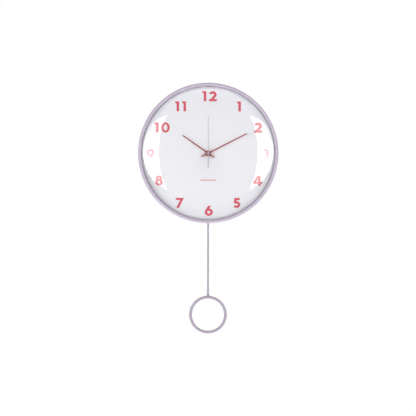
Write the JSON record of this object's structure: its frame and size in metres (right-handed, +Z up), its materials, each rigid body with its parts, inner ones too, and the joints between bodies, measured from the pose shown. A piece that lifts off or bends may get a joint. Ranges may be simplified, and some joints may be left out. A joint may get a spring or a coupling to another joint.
{
  "type": "pendulum wall clock",
  "caption": "Round wall clock with a domed glass, a rolled lilac bezel, coral numerals and a ring pendulum on a slim rod; a quartz movement drives geared hands.",
  "frame": {"origin": "centre of the hanger plate's keyhole, on the plate's rear face", "axes": "+Z up towards twelve o'clock, +Y back towards the wall, +X to the right as seen from the front; the dial faces -Y"},
  "size_m": [0.3, 0.0552, 0.541],
  "materials": {
    "lilac_paint": "smooth powder coat, satin",
    "zinc_steel": "zinc-plated pressed steel",
    "clear_glass": "clear, polished",
    "grey_rubber": "matt rubber channel",
    "spacer_plastic": "matt moulding",
    "dial_paint": "matt white lacquer",
    "dial_ink": "screen-printed ink",
    "black_rubber": "matt rubber",
    "movement_black": "fine-grained black moulding",
    "brass": "turned brass",
    "bridge_plastic": "matt moulding",
    "circuit_green": "solder mask",
    "nickel_steel": "nickel-plated spring steel",
    "chip_resin": "epoxy",
    "gear_natural": "natural acetal",
    "gear_green": "tinted acetal",
    "copper_winding": "enamelled copper wire",
    "electrical_steel": "bare laminated steel",
    "cell_jacket": "printed steel jacket, plain",
    "magnet_ferrite": "sintered, dark",
    "magnet_nickel": "nickel plated",
    "knob_plastic": "matt moulding",
    "hand_paint": "satin lacquer",
    "second_paint": "satin lacquer",
    "nut_brass": "milled brass"
  },
  "bodies": {
    "clock_body": {"case_shell": "lilac_paint", "mounting_lugs": "zinc_steel", "lug_screws": "zinc_steel", "glass_dome": "clear_glass", "glass_gasket": "grey_rubber", "spacer_ring": "spacer_plastic", "dial_plate": "dial_paint", "hour_numerals": "dial_ink", "dial_mark": "dial_ink", "wall_bumpers": "black_rubber", "movement_base": "movement_black", "movement_cover": "movement_black", "pendulum_cover": "movement_black", "cover_screws": "zinc_steel", "shaft_bush": "brass", "bush_nut": "nut_brass", "bush_washer": "nickel_steel", "cushion_washer": "black_rubber", "hanger_plate": "zinc_steel", "hanger_screws": "zinc_steel", "rear_bridge": "bridge_plastic", "middle_plate": "bridge_plastic", "circuit_board": "circuit_green", "quartz_crystal": "nickel_steel", "driver_chip": "chip_resin", "motor_bobbin": "gear_natural", "motor_winding": "copper_winding", "coil_core": "electrical_steel", "stator_plate": "electrical_steel", "battery": "cell_jacket", "contact_positive": "nickel_steel", "contact_negative": "nickel_steel", "pendulum_bobbin": "gear_natural", "pendulum_coil": "copper_winding", "pivot_pin": "nickel_steel"},
    "second_train": {"second_wheel": "gear_natural", "second_hand": "second_paint"},
    "rotor": {"rotor_magnet": "magnet_ferrite", "rotor_pinion": "gear_natural"},
    "intermediate": {"intermediate_wheel": "gear_natural"},
    "third": {"third_wheel": "gear_green"},
    "minute_train": {"centre_wheel": "gear_natural", "minute_hand": "hand_paint"},
    "motion": {"motion_wheel": "gear_green"},
    "hour_train": {"hour_wheel": "gear_natural", "hour_hand": "hand_paint"},
    "setting": {"set_wheel": "gear_natural", "set_knob": "knob_plastic"},
    "pendulum": {"pendulum_arm": "gear_natural", "pendulum_magnet": "magnet_nickel", "pendulum_rod": "lilac_paint", "ring_ferrule": "lilac_paint", "pendulum_ring": "lilac_paint"}
  },
  "joints": [
    {"name": "second_turn", "type": "hinge", "parent": "clock_body", "child": "second_train", "pos_m": [0, -0.02, -0.044], "axis": [0, 1, 0], "continuous": true},
    {"name": "minute_turn", "type": "hinge", "parent": "clock_body", "child": "minute_train", "pos_m": [0, -0.02, -0.044], "axis": [0, 1, 0], "continuous": true},
    {"name": "hour_turn", "type": "hinge", "parent": "clock_body", "child": "hour_train", "pos_m": [0, -0.02, -0.044], "axis": [0, 1, 0], "continuous": true},
    {"name": "rotor_turn", "type": "hinge", "parent": "clock_body", "child": "rotor", "pos_m": [-0.0106, -0.008, -0.02906], "axis": [0, 1, 0], "continuous": true},
    {"name": "intermediate_turn", "type": "hinge", "parent": "clock_body", "child": "intermediate", "pos_m": [-0.0106, -0.005, -0.03788], "axis": [0, 1, 0], "continuous": true},
    {"name": "third_turn", "type": "hinge", "parent": "clock_body", "child": "third", "pos_m": [0.00938, -0.008, -0.03613], "axis": [0, 1, 0], "continuous": true},
    {"name": "motion_turn", "type": "hinge", "parent": "clock_body", "child": "motion", "pos_m": [-0.01039, -0.013, -0.038], "axis": [0, 1, 0], "continuous": true},
    {"name": "setting_turn", "type": "hinge", "parent": "clock_body", "child": "setting", "pos_m": [-0.01714, -0.006, -0.04969], "axis": [0, 1, 0], "continuous": true},
    {"name": "pendulum_swing", "type": "hinge", "parent": "clock_body", "child": "pendulum", "pos_m": [0, -0.0094, -0.078], "axis": [0, 1, 0], "range_deg": [-5, 5]}
  ],
  "couplings": [
    {"joint": "minute_turn", "follows": "second_turn", "ratio": 0.016667},
    {"joint": "hour_turn", "follows": "second_turn", "ratio": 0.0013889},
    {"joint": "rotor_turn", "follows": "second_turn", "ratio": 30},
    {"joint": "intermediate_turn", "follows": "second_turn", "ratio": -5},
    {"joint": "third_turn", "follows": "second_turn", "ratio": -0.13333},
    {"joint": "motion_turn", "follows": "second_turn", "ratio": -0.0055556},
    {"joint": "setting_turn", "follows": "second_turn", "ratio": 0.011111}
  ]
}
